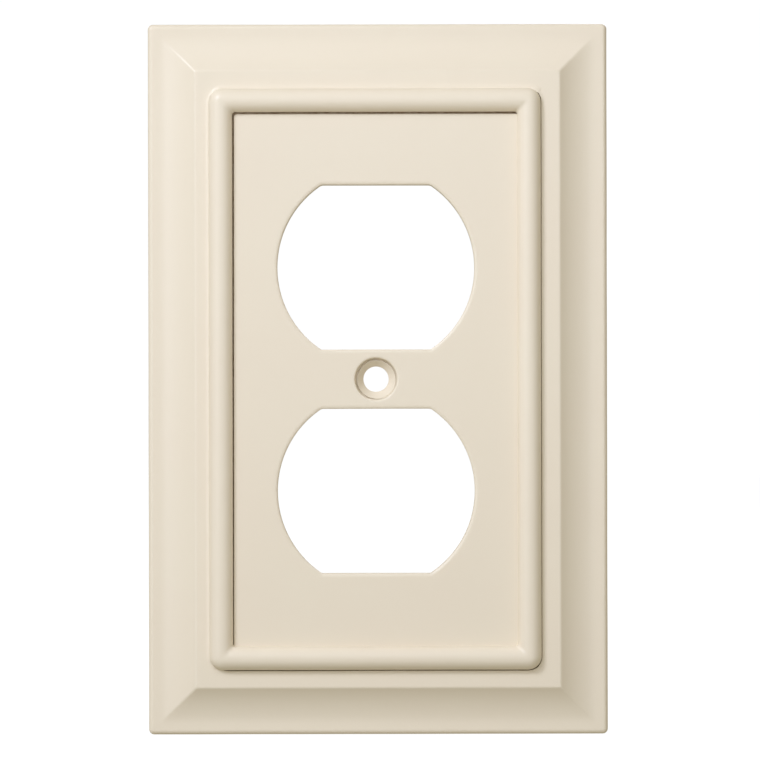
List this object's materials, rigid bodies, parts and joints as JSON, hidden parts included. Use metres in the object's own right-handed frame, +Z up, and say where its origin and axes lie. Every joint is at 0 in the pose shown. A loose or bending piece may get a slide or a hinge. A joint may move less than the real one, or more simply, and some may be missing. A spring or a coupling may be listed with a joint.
{
  "type": "duplex receptacle wall plate",
  "caption": "Cream painted duplex receptacle wall plate: mitred cove frame, half-round bead, flat panel with flat-sided round openings and a countersunk screw hole.",
  "frame": {"origin": "centre of the screw hole where it opens at the back of the panel", "axes": "+Z up, +X to the right as seen from the room, front towards -Y; the wall plane is y = +3.3 mm"},
  "size_m": [0.08, 0.0085, 0.1238],
  "materials": {
    "painted_fibreboard": "satin light-almond paint over fine wood fibreboard"
  },
  "bodies": {
    "root": {"centre_panel": "painted_fibreboard", "outer_moulding_top": "painted_fibreboard", "outer_moulding_bottom": "painted_fibreboard", "outer_moulding_left": "painted_fibreboard", "outer_moulding_right": "painted_fibreboard", "bead_top": "painted_fibreboard", "bead_bottom": "painted_fibreboard", "bead_left": "painted_fibreboard", "bead_right": "painted_fibreboard"}
  },
  "joints": []
}
